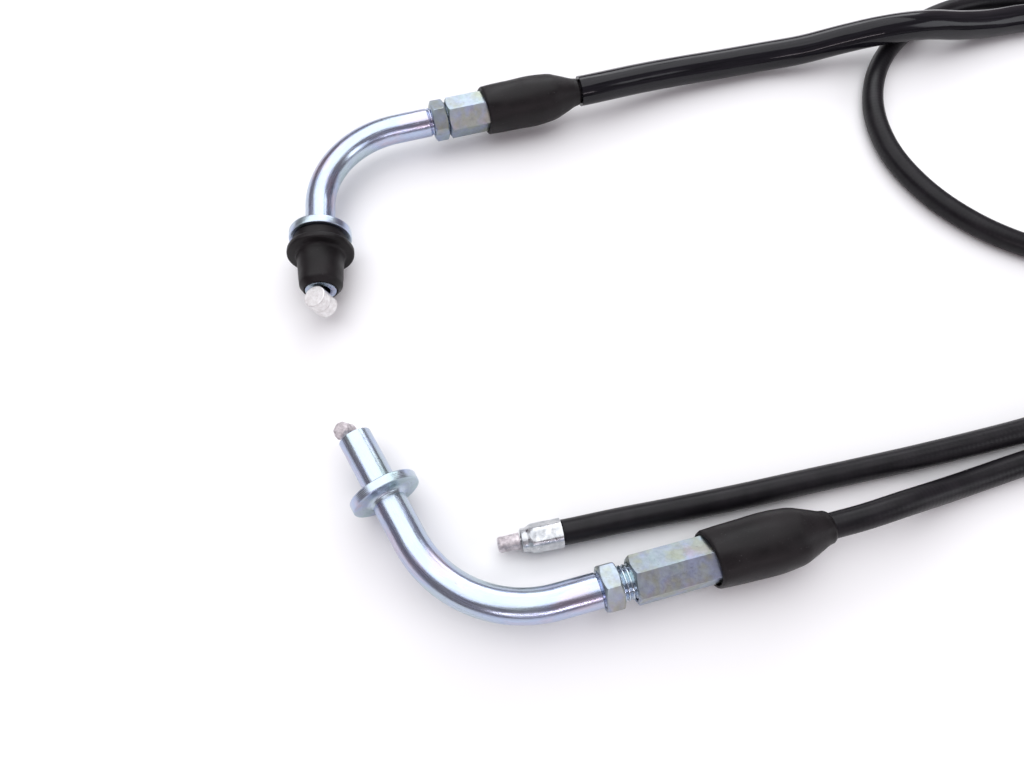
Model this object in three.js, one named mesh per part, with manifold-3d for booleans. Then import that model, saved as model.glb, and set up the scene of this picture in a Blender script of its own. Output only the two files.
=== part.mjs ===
// A one-into-two throttle cable set for a small two-stroke motorcycle.
//
// The twist grip's cable comes out of a bent steel elbow with a rubber grommet, and runs to a splitter.
// There it pulls two cables at once: one ends in a second elbow, for the carburettor, and one in a small
// ferrule, for the oil pump. Both elbows have a screw adjuster with a lock nut under a rubber boot.
// Millimetres, +Z up. Everything lies on the plane z = 0.

import * as THREE from "three";
import { mergeVertices } from "three/addons/utils/BufferGeometryUtils.js";
import Module from "manifold-3d";

const wasm = await Module();
wasm.setup();

// ---------------------------------------------------------------------------------------------------
// Driving dimensions
// ---------------------------------------------------------------------------------------------------

const GAP = 0.3; // between pieces that touch
const FOOTPRINT_CENTRE = [106.5, 42]; // middle of the fittings' footprint, which is the part's origin

const WIRE = { radius: 0.75, bore: 1.3, sides: 8, travel: 12.5 };
const CONDUIT = { radius: 3, sides: 8 };
const CAP = { wall: 0.7, length: 10, end: 1, sides: 16 }; // crimped cap on a conduit's end
const capRadius = CONDUIT.radius + GAP + CAP.wall;
const SHEATH = { radius: CONDUIT.radius + 1.3, clearance: 0.4, length: 154, sides: 10 };

const TUBE = { radius: 4, bore: 2.5, sides: 12, step: 4 }; // the bent steel tube of both elbows
const HEX_FLATS = 2 * (Math.max(TUBE.radius, capRadius) + 1); // of the lock nuts and the adjusters
const NUT = { flats: HEX_FLATS, thickness: 4.2, chamfer: 0.7 };
const ADJUSTER = {
  flats: HEX_FLATS,
  length: 26,
  chamfer: 0.9,
  threadDepth: 16.3,
  shankGap: 2.5, // between the shank's end and the bottom of the thread
  web: 1.6, // the wall between the threaded bore and the socket of the conduit's cap
  webBore: 2,
};
const BOOT = {
  length: 30,
  mouth: 24.8, // how deep its wide part is
  shoulder: 3.3,
  wall: 0.8,
  tail: CONDUIT.radius + 0.9,
  lip: 0.42,
  bead: 1.6,
};
const FLANGE = { radius: TUBE.radius + 4.25, thickness: 2.3 };

// place and heading: the end of the bend, and the way the conduit leaves. turn: 1 bends left, -1 right.
// nutAt, adjusterAt and bootAt are from the end of the bend.
const GRIP = {
  name: "grip",
  place: [-33.6, 81.7],
  heading: 15.5,
  turn: -1,
  bendRadius: 26.2,
  bendAngle: 80.8,
  straight: 10, // from the bend to the flange's middle
  nose: 17.3, // from the flange's middle to the tube's mouth
  hexPhase: 21,
  nutPhase: 11.5,
  nutAt: 10.7,
  adjusterAt: 15.2,
  bootAt: 25.3,
  nipple: { radius: 3, length: 6.4, lean: 20, across: 0 },
};
const CARB = {
  name: "carb",
  place: [9.7, -52.4],
  heading: 15,
  turn: 1,
  bendRadius: 29,
  bendAngle: 74.6,
  straight: 12.8,
  nose: 16,
  hexPhase: -3,
  nutPhase: 12.4,
  nutAt: 10,
  adjusterAt: 17,
  bootAt: 34.2,
  nipple: { radius: 2.2, length: 5.4, lean: -24, across: 1.3 }, // the wire lies against the tube's side
};
const GROMMET = {
  neck: { radius: TUBE.radius + 3.3, length: 3 },
  rim: { radius: TUBE.radius + 4.9, length: 1.8 },
  plug: { root: TUBE.radius + 2.2, tip: TUBE.radius + 1.65, length: 11, chamfer: 1 },
};

const PUMP = {
  mouth: [2.1, -37.8],
  heading: 11.3,
  // The conduit's cover stops at the ferrule, which is crimped on the bare liner.
  ferrule: { radius: CONDUIT.radius + 0.45, wall: 0.4, length: 9.6, collar: 1.6, hexPhase: 38 },
  liner: CONDUIT.radius - 0.5,
  nipple: { radius: 1.75, length: 4, shoulder: 2.05, shoulderLength: 1.2 },
};

const SPLITTER = {
  place: [202, 135.6], // the tip of the single cable's boss
  heading: -25,
  radius: 2 * (capRadius + GAP) + 1.4,
  wall: 1.5,
  endWall: 4,
  boss: { radius: capRadius + 2.1, length: 9 },
  socketDepth: 8,
  portOffset: capRadius + GAP + 0.3, // each of the two cables, from the splitter's axis
  capPlate: 3,
  spigot: 4,
};
const SLIDER = { thickness: 6 };
const INNER_NIPPLE = { radius: 2.3, length: 5 };
const END_PLAY = 1; // between the end of a travel and the wall behind it

// Routes of the three conduits along their centre lines, from fitting to splitter: x, y, and how far the
// conduit is lifted off the table. The first and last points of each are worked out from its fittings.
const GRIP_ROUTE = [
  [39.0, 103.5, 4.3], [51.8, 108.0, 3.0], [64.6, 111.6, 2.3], [77.6, 114.9, 2.1],
  [90.2, 117.0, 3.0], [102.8, 119.3, 5.0], [112.5, 120.4, 6.9], [121.5, 121.8, 7.5],
  [131.0, 123.9, 6.6], [142.0, 126.6, 4.2], [153.5, 130.0, 2.1], [164.5, 133.0, 1.4],
  [175.0, 133.8, 1.3], [185.0, 131.2, 0.6], [193.5, 125.0, 0], [199.8, 116.0, 0],
  [203.8, 105.0, 0], [205.2, 93.0, 0], [203.8, 80.5, 0], [199.0, 67.5, 0],
  [190.5, 55.5, 0], [178.5, 46.0, 0], [165.0, 41.2, 0], [152.5, 41.6, 0],
  [141.8, 45.2, 0], [130.0, 52.4, 0], [119.4, 63.3, 0], [112.0, 77.6, 0],
  [110.0, 92.5, 0], [112.4, 106.0, 0], [118.6, 118.6, 0], [128.0, 129.2, 0],
  [140.0, 137.2, 0], [153.0, 141.8, 0], [166.0, 143.3, 0.1], [177.0, 143.1, 2.0],
];
const CARB_ROUTE = [
  [91.0, -30.0, 4.5], [98.8, -27.3, 2.5], [106.8, -24.5, 0.8], [114.6, -21.8, 0.1],
  [123.7, -18.8, 0], [139.0, -14.0, 0], [160.0, -7.4, 0], [185.0, 0.5, 0],
  [210.0, 8.4, 0], [234.0, 16.0, 0], [256.0, 22.8, 0], [274.0, 29.6, 0],
  [289.0, 40.2, 0], [298.6, 54.6, 0], [300.8, 71.0, 0.2], [295.4, 86.6, 2.0],
];
const PUMP_ROUTE = [
  [25.2, -33.0, 0.4], [39.6, -30.1, 0.1], [54.0, -27.1, 0], [68.8, -23.8, 0],
  [83.7, -20.5, 0], [99.0, -17.0, 0], [114.5, -13.2, 0], [126.0, -10.2, 0],
  [140.0, -6.0, 0], [160.0, 0.0, 0], [184.0, 7.8, 0], [208.0, 15.8, 0],
  [231.0, 23.6, 0], [251.0, 30.4, 0], [267.0, 36.8, 0], [279.6, 46.0, 0],
  [287.8, 58.0, 0], [290.0, 71.2, 0.3], [286.4, 83.6, 2.2],
];
const HIGHEST_LIFT = 7.5; // where the sheath crosses over the loop
const CABLE_STEP = 5.5; // length of each straight bit of a cable's mesh

// ---------------------------------------------------------------------------------------------------
// Materials
// ---------------------------------------------------------------------------------------------------

const finish = (color, roughness, metalness) =>
  new THREE.MeshStandardMaterial({ color, roughness, metalness });
const zinc = () => finish(0xc3cdd2, 0.28, 1);
const castNipple = () => finish(0xc9c9cc, 0.45, 1);
const roughNipple = () => finish(0x9b9496, 0.6, 0.9);
const steelWire = () => finish(0xa9abae, 0.4, 1);
const crimpedAlloy = () => finish(0xb4b8bb, 0.42, 1);
const blackRubber = () => finish(0x1d1b1b, 0.75, 0);
const blackPvc = () => finish(0x17171a, 0.45, 0);
const glossyPvc = () => finish(0x131418, 0.25, 0);
const blackNylon = () => finish(0x202022, 0.5, 0);
const whiteAcetal = () => finish(0xe4e2da, 0.4, 0);

// ---------------------------------------------------------------------------------------------------
// Shape helpers
// ---------------------------------------------------------------------------------------------------

const radians = THREE.MathUtils.degToRad;

/** A solid turned about +X from a closed profile of [x, radius] points. */
function turned(profile, segments = 24) {
  const points = [...profile, profile[0]].map(([x, r]) => new THREE.Vector2(r, x));
  return new THREE.LatheGeometry(points, segments).rotateZ(-Math.PI / 2);
}

/** A plain round bar or tube along +X, from x0 to x1. */
function round(x0, x1, radius, bore = 0, segments = 24) {
  return turned([[x0, bore], [x0, radius], [x1, radius], [x1, bore]], segments);
}

/** A hexagonal bar along +X, whose corners are turned down at both ends. */
function hexBar(x0, x1, flats, chamfer, phase) {
  const corner = flats / Math.sqrt(3);
  const bar = new THREE.CylinderGeometry(corner, corner, x1 - x0, 6)
    .rotateZ(-Math.PI / 2)
    .rotateX(radians(phase))
    .translate((x0 + x1) / 2, 0, 0);
  const ends = turned(
    [
      [x0, 0],
      [x0, flats / 2],
      [x0 + chamfer, corner + GAP],
      [x1 - chamfer, corner + GAP],
      [x1, flats / 2],
      [x1, 0],
    ],
    24,
  );
  return solid(bar).intersect(solid(ends));
}

function solid(geometry) {
  const bare = geometry.clone();
  bare.deleteAttribute("normal");
  bare.deleteAttribute("uv");
  const merged = mergeVertices(bare, 1e-4);
  const vertProperties = merged.attributes.position.array;
  const triVerts = new Uint32Array(merged.index.array);
  return new wasm.Manifold(new wasm.Mesh({ numProp: 3, vertProperties, triVerts }));
}

function geometryOf(manifold) {
  const { numProp, vertProperties, triVerts } = manifold.getMesh();
  const stored = new THREE.InterleavedBuffer(new Float32Array(vertProperties), numProp);
  const geometry = new THREE.BufferGeometry();
  geometry.setAttribute("position", new THREE.InterleavedBufferAttribute(stored, 3, 0));
  geometry.setIndex(new THREE.BufferAttribute(new Uint32Array(triVerts), 1));
  const plain = geometry.toNonIndexed();
  plain.computeVertexNormals();
  return plain;
}

function regularPolygon(radius, sides) {
  return Array.from({ length: sides }, (_, i) => {
    const angle = (2 * Math.PI * i) / sides;
    return new THREE.Vector2(radius * Math.cos(angle), radius * Math.sin(angle));
  });
}

/** A round bar, or a tube where bore is given, along a curve. */
function swept(curve, steps, radius, sides, bore = 0) {
  const section = new THREE.Shape(regularPolygon(radius, sides));
  if (bore) section.holes.push(new THREE.Path(regularPolygon(bore, sides)));
  return new THREE.ExtrudeGeometry(section, { steps, extrudePath: curve });
}

function piece(name, shape, material) {
  const geometry = shape.isBufferGeometry ? shape : geometryOf(shape);
  const mesh = new THREE.Mesh(geometry, material);
  mesh.name = name;
  return mesh;
}

/** A group at a place on the table plane, its +X pointing along heading. */
function frameAt([x, y, z = 0], heading, ...children) {
  const group = new THREE.Group();
  group.position.set(x, y, z);
  group.rotation.z = radians(heading);
  if (children.length) group.add(...children);
  return group;
}

// ---------------------------------------------------------------------------------------------------
// The elbow ends
// ---------------------------------------------------------------------------------------------------

/** Distances from the end of the bend, along the shank and the adjuster. */
const shankEnd = (end) => end.adjusterAt + ADJUSTER.threadDepth - ADJUSTER.shankGap;
const adjusterEnd = (end) => end.adjusterAt + ADJUSTER.length;
const capStart = (end) => end.adjusterAt + ADJUSTER.threadDepth + ADJUSTER.web + GAP;
const conduitStart = (end) => capStart(end) + CAP.end + GAP;
const bootEnd = (end) => end.bootAt + BOOT.length;

/** The bend, from the flange's side to the threaded shank, which starts at the origin and runs along +X. */
class Bend extends THREE.Curve {
  constructor({ bendRadius, bendAngle, turn }) {
    super();
    Object.assign(this, { bendRadius, bendAngle: radians(bendAngle), turn });
  }

  getPoint(t, target = new THREE.Vector3()) {
    const angle = this.bendAngle * (1 - t);
    const across = this.turn * this.bendRadius * (1 - Math.cos(angle));
    return target.set(-this.bendRadius * Math.sin(angle), across, 0);
  }
}

/** The direction in which the nose points, and a point at a distance along it from the flange. */
function noseFrame(end) {
  const angle = radians(end.bendAngle);
  const direction = new THREE.Vector3(-Math.cos(angle), end.turn * Math.sin(angle), 0);
  const flange = new Bend(end).getPoint(0).addScaledVector(direction, end.straight);
  const along = (distance) => flange.clone().addScaledVector(direction, distance);
  return { flange, along, heading: 180 - end.turn * end.bendAngle };
}

function elbowPath(end, from, to) {
  const nose = noseFrame(end);
  const path = new THREE.CurvePath();
  path.add(new THREE.LineCurve3(nose.along(from), nose.along(-end.straight)));
  path.add(new Bend(end));
  path.add(new THREE.LineCurve3(new THREE.Vector3(), new THREE.Vector3(to, 0, 0)));
  return path;
}

function elbowTube(end) {
  const path = elbowPath(end, end.nose, shankEnd(end));
  const steps = Math.round(path.getLength() / TUBE.step);
  const tube = swept(path, steps, TUBE.radius, TUBE.sides, TUBE.bore);
  return piece(`${end.name}_elbow_tube`, tube, zinc());
}

function elbowFlange(end) {
  const half = FLANGE.thickness / 2;
  const ring = round(-half, half, FLANGE.radius, TUBE.radius + GAP, 28);
  return piece(`${end.name}_elbow_flange`, ring, zinc());
}

/** A barrel nipple across the wire's end, leaning about the wire. Its wire hole runs along +X. */
function barrelNipple(end) {
  const { radius, length, lean, across } = end.nipple;
  const middle = end.nose + GAP + radius;
  const edge = 0.35;
  const half = length / 2;
  const barrel = turned(
    [
      [-half, 0],
      [-half, radius - edge],
      [edge - half, radius],
      [half - edge, radius],
      [half, radius - edge],
      [half, 0],
    ],
    20,
  );
  barrel.rotateY(Math.PI / 2).rotateX(radians(lean)).translate(middle, 0, 0);
  const hole = round(middle - 2 * radius, middle + 2 * radius, WIRE.radius + GAP, 0, 12);
  const nipple = solid(barrel).subtract(solid(hole)).translate(0, across, 0);
  return piece(`${end.name}_nipple`, nipple, end === GRIP ? castNipple() : roughNipple());
}

/** The wire's straight end, which slides in the tube's nose and straight. */
function wireEnd(end) {
  const inner = GAP - end.straight;
  const outer = end.nose + GAP + 1.6 * end.nipple.radius;
  const wire = round(inner, outer, WIRE.radius, 0, WIRE.sides).translate(0, end.nipple.across, 0);
  return piece(`${end.name}_wire_end`, wire, steelWire());
}

function wireInElbow(end) {
  const path = elbowPath(end, -end.straight - GAP, shankEnd(end));
  path.curves.shift();
  const wire = swept(path, 20, WIRE.radius, WIRE.sides);
  return piece(`${end.name}_wire_in_elbow`, wire, steelWire());
}

/** The rubber grommet on the grip elbow's nose, which plugs the hole in the grip's housing. */
function grommet() {
  const { neck, rim, plug } = GROMMET;
  const x0 = FLANGE.thickness / 2 + GAP;
  const x1 = x0 + neck.length;
  const x2 = x1 + rim.length;
  const x3 = x2 + plug.length;
  const bore = TUBE.radius + GAP;
  const profile = [
    [x0, bore],
    [x0, neck.radius],
    [x1, neck.radius],
    [x1, rim.radius],
    [x2, rim.radius],
    [x2, plug.root],
    [x3 - plug.chamfer, plug.tip],
    [x3, plug.tip - plug.chamfer],
    [x3, bore],
  ];
  return piece("grip_grommet", turned(profile, 28), blackRubber());
}

function lockNut(end) {
  const from = end.nutAt;
  const to = from + NUT.thickness;
  const bore = round(from - 1, to + 1, TUBE.radius + GAP, 0, 20);
  const nut = hexBar(from, to, NUT.flats, NUT.chamfer, end.nutPhase).subtract(solid(bore));
  return piece(`${end.name}_lock_nut`, nut, zinc());
}

function adjuster(end) {
  const { adjusterAt, hexPhase } = end;
  const web = adjusterAt + ADJUSTER.threadDepth;
  const socket = web + ADJUSTER.web;
  const bores = turned(
    [
      [adjusterAt - 1, 0],
      [adjusterAt - 1, TUBE.radius + GAP],
      [web, TUBE.radius + GAP],
      [web, ADJUSTER.webBore],
      [socket, ADJUSTER.webBore],
      [socket, capRadius + GAP],
      [adjusterEnd(end) + 1, capRadius + GAP],
      [adjusterEnd(end) + 1, 0],
    ],
    20,
  );
  const { flats, chamfer } = ADJUSTER;
  const bar = hexBar(adjusterAt, adjusterEnd(end), flats, chamfer, hexPhase);
  return piece(`${end.name}_adjuster`, bar.subtract(solid(bores)), zinc());
}

/** A thimble on a conduit's end, closed but for the wire's hole. It starts at x = 0 and opens towards +X. */
function conduitCap(name, material, length = CAP.length) {
  const inner = CONDUIT.radius + GAP;
  const profile = [
    [0, WIRE.bore],
    [0, capRadius - CAP.wall / 2],
    [CAP.wall / 2, capRadius],
    [length, capRadius],
    [length, inner],
    [CAP.end, inner],
    [CAP.end, WIRE.bore],
  ];
  return piece(name, turned(profile, CAP.sides), material);
}

/** The rubber boot over the adjuster's end: a wide mouth, a shoulder and a narrow tail on the conduit. */
function boot(end) {
  const { length, mouth, shoulder, wall, tail, lip, bead } = BOOT;
  const inner = ADJUSTER.flats / Math.sqrt(3) + GAP;
  const outer = inner + wall;
  const x = end.bootAt;
  const conduitBore = CONDUIT.radius + GAP;
  const profile = [
    [x, inner],
    [x, outer + lip / 2],
    [x + bead / 2, outer + lip],
    [x + bead, outer],
    [x + 0.45 * mouth, outer + lip / 2],
    [x + 0.78 * mouth, outer],
    [x + mouth - 2, inner + wall / 3],
    [x + mouth + shoulder / 3, tail + 0.9],
    [x + length - bead, tail],
    [x + length, tail],
    [x + length, conduitBore],
    [x + mouth, conduitBore],
    [x + mouth - shoulder, inner],
  ];
  return piece(`${end.name}_boot`, turned(profile, 24), blackRubber());
}

/** Everything on one elbow, in its own frame at the end of the bend. */
function elbowEnd(end, height) {
  const nose = noseFrame(end);
  const cap = conduitCap(`${end.name}_conduit_cap`, zinc());
  cap.position.x = capStart(end);
  const onNose = frameAt(nose.flange.toArray(), nose.heading);
  onNose.add(elbowFlange(end), barrelNipple(end), wireEnd(end));
  if (end === GRIP) onNose.add(grommet());
  return frameAt(
    [...end.place, height],
    end.heading,
    elbowTube(end),
    wireInElbow(end),
    lockNut(end),
    adjuster(end),
    cap,
    boot(end),
    onNose,
  );
}

// ---------------------------------------------------------------------------------------------------
// The pump's end
// ---------------------------------------------------------------------------------------------------

const pumpHeight = PUMP.ferrule.radius + 0.05;
const linerStart = PUMP.ferrule.collar + CAP.end + GAP;
const pumpConduitStart = PUMP.ferrule.length + GAP;

/** The crimped ferrule: a collar, then a socket for the conduit's liner with six flats pressed on it. */
function pumpFerrule() {
  const { radius, wall, length, collar, hexPhase } = PUMP.ferrule;
  const inner = PUMP.liner + GAP;
  const flats = 2 * (inner + wall);
  const outer = turned([
    [0, 0],
    [0, inner],
    [collar, inner],
    [collar + 0.9, radius],
    [length, radius],
    [length, 0],
  ]);
  const pressed = hexBar(-1, length + 1, flats, 0.1, hexPhase);
  const bores = turned([
    [-1, 0],
    [-1, WIRE.bore],
    [collar + CAP.end, WIRE.bore],
    [collar + CAP.end, inner],
    [length + 1, inner],
    [length + 1, 0],
  ]);
  const body = solid(outer).intersect(pressed).subtract(solid(bores));
  return piece("pump_ferrule", body, crimpedAlloy());
}

/** The stripped end of the conduit, which goes into the ferrule. */
function liner() {
  const bar = round(linerStart, pumpConduitStart + 0.4, PUMP.liner, WIRE.bore, CONDUIT.sides);
  const placed = frameAt([...PUMP.mouth, pumpHeight], PUMP.heading);
  placed.updateMatrixWorld(true);
  return bar.applyMatrix4(placed.matrixWorld);
}

/** The pin nipple, in line with its wire. */
function pumpNipple() {
  const { radius, length, shoulder, shoulderLength } = PUMP.nipple;
  const back = -GAP;
  const bore = WIRE.radius + GAP;
  const profile = [
    [back, bore],
    [back, shoulder],
    [back - shoulderLength, shoulder],
    [back - shoulderLength, radius],
    [back - shoulderLength - length + 0.4, radius],
    [back - shoulderLength - length, radius - 0.4],
    [back - shoulderLength - length, bore],
  ].reverse();
  return piece("pump_nipple", turned(profile, 20), roughNipple());
}

function pumpWireEnd() {
  const tip = -GAP - PUMP.nipple.shoulderLength - 0.9 * PUMP.nipple.length;
  const tail = linerStart + WIRE.travel;
  return piece("pump_wire_end", round(tip, tail, WIRE.radius, 0, WIRE.sides), steelWire());
}

// ---------------------------------------------------------------------------------------------------
// The splitter
// ---------------------------------------------------------------------------------------------------

const cavityRadius = SPLITTER.radius - SPLITTER.wall;
const splitterAxis = (() => {
  const bossTip = 0;
  const wallStart = bossTip + SPLITTER.boss.length;
  const cavityStart = wallStart + SPLITTER.endWall;
  const nipples = cavityStart + END_PLAY;
  const slider = nipples + INNER_NIPPLE.length + GAP;
  const gripNipple = slider + SLIDER.thickness + 2 * WIRE.travel + 2 * GAP;
  const cavityEnd = gripNipple + INNER_NIPPLE.length + END_PLAY;
  const bodyEnd = cavityEnd + SPLITTER.spigot;
  const capFace = bodyEnd + GAP;
  const sockets = capFace + SPLITTER.capPlate;
  const capEnd = sockets + SPLITTER.socketDepth;
  return { bossTip, wallStart, cavityStart, nipples, slider, gripNipple, cavityEnd, bodyEnd, capFace, sockets, capEnd };
})();
const ports = { carb: SPLITTER.portOffset, pump: -SPLITTER.portOffset };
const socketRadius = capRadius + GAP;

function splitterBody() {
  const { radius, boss, socketDepth } = SPLITTER;
  const { wallStart, cavityStart, bodyEnd } = splitterAxis;
  const edge = 1.2;
  const profile = [
    [0, socketRadius],
    [0, boss.radius - edge / 2],
    [edge / 2, boss.radius],
    [wallStart, boss.radius],
    [wallStart, radius - edge],
    [wallStart + edge, radius],
    [bodyEnd, radius],
    [bodyEnd, cavityRadius],
    [cavityStart, cavityRadius],
    [cavityStart, WIRE.bore],
    [socketDepth, WIRE.bore],
    [socketDepth, socketRadius],
  ];
  return piece("splitter_body", turned(profile, 28), blackNylon());
}

function splitterCap() {
  const { radius } = SPLITTER;
  const { cavityEnd, capFace, sockets, capEnd } = splitterAxis;
  const edge = 1.2;
  const plug = turned(
    [
      [cavityEnd, 0],
      [cavityEnd, cavityRadius - GAP],
      [capFace, cavityRadius - GAP],
      [capFace, radius],
      [capEnd - edge, radius],
      [capEnd, radius - edge],
      [capEnd, 0],
    ],
    28,
  );
  let cap = solid(plug);
  for (const across of Object.values(ports)) {
    const bore = turned(
      [
        [cavityEnd - 1, 0],
        [cavityEnd - 1, WIRE.bore],
        [sockets, WIRE.bore],
        [sockets, socketRadius],
        [capEnd + 1, socketRadius],
        [capEnd + 1, 0],
      ],
      20,
    ).translate(0, across, 0);
    cap = cap.subtract(solid(bore));
  }
  return piece("splitter_cap", cap, blackNylon());
}

/** The slider that the grip's nipple pulls, and that pulls the other two. */
function splitterSlider() {
  const { slider } = splitterAxis;
  const end = slider + SLIDER.thickness;
  let disc = solid(round(slider, end, cavityRadius - GAP, 0, 24));
  for (const across of [0, ...Object.values(ports)]) {
    const hole = round(slider - 1, end + 1, WIRE.bore, 0, 12).translate(0, across, 0);
    disc = disc.subtract(solid(hole));
  }
  return piece("splitter_slider", disc, whiteAcetal());
}

function innerNipple(name, x, across) {
  const { radius, length } = INNER_NIPPLE;
  const shape = round(x, x + length, radius, WIRE.radius + GAP, 16).translate(0, across, 0);
  return piece(name, shape, castNipple());
}

function innerWire(name, x0, x1, across) {
  return piece(name, round(x0, x1, WIRE.radius, 0, WIRE.sides).translate(0, across, 0), steelWire());
}

function splitter() {
  const { nipples, gripNipple, cavityEnd, sockets } = splitterAxis;
  const group = frameAt([...SPLITTER.place, SPLITTER.radius], SPLITTER.heading);
  group.add(splitterBody(), splitterCap(), splitterSlider());
  group.add(innerNipple("splitter_grip_nipple", gripNipple, 0));
  group.add(innerWire("splitter_grip_wire", SPLITTER.socketDepth - 6, gripNipple + 4, 0));
  for (const [name, across] of Object.entries(ports)) {
    group.add(innerNipple(`splitter_${name}_nipple`, nipples, across));
    group.add(innerWire(`splitter_${name}_wire`, nipples + 1, cavityEnd, across));
    const ferrule = conduitCap(`splitter_${name}_ferrule`, zinc());
    ferrule.position.set(sockets + GAP, across, 0);
    group.add(ferrule);
  }
  const gripFerrule = conduitCap("splitter_grip_ferrule", zinc());
  gripFerrule.position.x = SPLITTER.socketDepth - GAP;
  gripFerrule.rotation.z = Math.PI;
  group.add(gripFerrule);
  return group;
}

// ---------------------------------------------------------------------------------------------------
// The conduits
// ---------------------------------------------------------------------------------------------------

/** Points given in a frame's own coordinates, brought to the table's. */
function onTable(place, height, heading, points) {
  const frame = frameAt([...place, height], heading);
  frame.updateMatrixWorld(true);
  return points.map((p) => new THREE.Vector3(...p).applyMatrix4(frame.matrixWorld));
}

const elbowHeight = { grip: GROMMET.rim.radius, carb: FLANGE.radius };

function fromElbow(end, distances) {
  const points = distances.map((x) => [x, 0, 0]);
  return onTable(end.place, elbowHeight[end.name], end.heading, points);
}

function intoSplitter(points) {
  return onTable(SPLITTER.place, SPLITTER.radius, SPLITTER.heading, points);
}

function cableRoutes() {
  const straight = 10; // run of conduit in line with the splitter before it bends away
  const { sockets, capEnd } = splitterAxis;
  const seat = sockets + 2 * GAP + CAP.end;
  const rest = CONDUIT.radius + 0.1;
  const crossing = (SHEATH.radius + CONDUIT.radius + 0.2) / HIGHEST_LIFT;
  const middle = (list) => list.map(([x, y, lift]) => new THREE.Vector3(x, y, rest + lift * crossing));
  const dual = (across) => [
    [capEnd + straight, across, 0],
    [capEnd, across, 0],
    [seat, across, 0],
  ];
  const gripSeat = SPLITTER.socketDepth - 2 * GAP - CAP.end;
  const pumpStart = onTable(PUMP.mouth, pumpHeight, PUMP.heading, [
    [pumpConduitStart, 0, 0],
    [pumpConduitStart + 2, 0, 0],
  ]);
  return {
    grip: [
      ...fromElbow(GRIP, [conduitStart(GRIP), adjusterEnd(GRIP), bootEnd(GRIP), bootEnd(GRIP) + 5]),
      ...middle(GRIP_ROUTE),
      ...intoSplitter([[-straight, 0, 0], [0, 0, 0], [gripSeat, 0, 0]]),
    ],
    carb: [
      ...fromElbow(CARB, [conduitStart(CARB), adjusterEnd(CARB), bootEnd(CARB), bootEnd(CARB) + 9]),
      ...middle(CARB_ROUTE),
      ...intoSplitter(dual(ports.carb)),
    ],
    pump: [...pumpStart, ...middle(PUMP_ROUTE), ...intoSplitter(dual(ports.pump))],
  };
}

const cableCurve = (points) => new THREE.CatmullRomCurve3(points, false, "centripetal");

/** The part of a curve between two distances from its start. */
class Stretch extends THREE.Curve {
  constructor(curve, from, to) {
    super();
    const whole = curve.getLength();
    Object.assign(this, { curve, from: from / whole, to: to / whole });
  }

  getPoint(t, target = new THREE.Vector3()) {
    return this.curve.getPointAt(this.from + (this.to - this.from) * t, target);
  }
}

function cables() {
  const group = new THREE.Group();
  const routes = cableRoutes();
  // How far the moving wire ends reach into a conduit at each end, which the fixed wire keeps clear of.
  const reach = { grip: GAP, carb: GAP, pump: 2 * WIRE.travel + 2 };
  const farReach = { grip: WIRE.travel + 6, carb: 4 * GAP + WIRE.travel, pump: 4 * GAP + WIRE.travel };
  for (const [name, points] of Object.entries(routes)) {
    const curve = cableCurve(points);
    curve.arcLengthDivisions = 1200;
    const steps = Math.round(curve.getLength() / CABLE_STEP);
    const conduit = swept(curve, steps, CONDUIT.radius, CONDUIT.sides, WIRE.bore);
    const inside = new Stretch(curve, reach[name], curve.getLength() - farReach[name]);
    const wire = swept(inside, steps, WIRE.radius, 6);
    const whole = name === "pump" ? solid(conduit).add(solid(liner())) : conduit;
    group.add(piece(`${name}_conduit`, whole, blackPvc()));
    group.add(piece(`${name}_wire_in_conduit`, wire, steelWire()));
    if (name === "grip") {
      const from = bootEnd(GRIP) + GAP - conduitStart(GRIP);
      const around = new Stretch(curve, from, from + SHEATH.length);
      const bore = (CONDUIT.radius + SHEATH.clearance) / Math.cos(Math.PI / SHEATH.sides);
      const bits = Math.round(SHEATH.length / CABLE_STEP);
      const sheath = swept(around, bits, SHEATH.radius, SHEATH.sides, bore);
      group.add(piece("grip_sheath", sheath, glossyPvc()));
    }
  }
  return group;
}

// ---------------------------------------------------------------------------------------------------
// The assembly
// ---------------------------------------------------------------------------------------------------

const throttleCable = new THREE.Group();
throttleCable.position.set(-FOOTPRINT_CENTRE[0], -FOOTPRINT_CENTRE[1], 0);
throttleCable.add(
  elbowEnd(GRIP, elbowHeight.grip),
  elbowEnd(CARB, elbowHeight.carb),
  frameAt([...PUMP.mouth, pumpHeight], PUMP.heading, pumpFerrule(), pumpNipple(), pumpWireEnd()),
  splitter(),
  cables(),
);

const assembly = new THREE.Group();
assembly.add(throttleCable);

export default assembly;
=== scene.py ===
"""A one-into-two throttle cable set: the detailed pieces, materials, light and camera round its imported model.

Lengths are millimetres and angles degrees until a mesh is made; meshes are in metres.
"""

import math

import bmesh
import bpy
from mathutils import Matrix, Vector, noise


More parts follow.
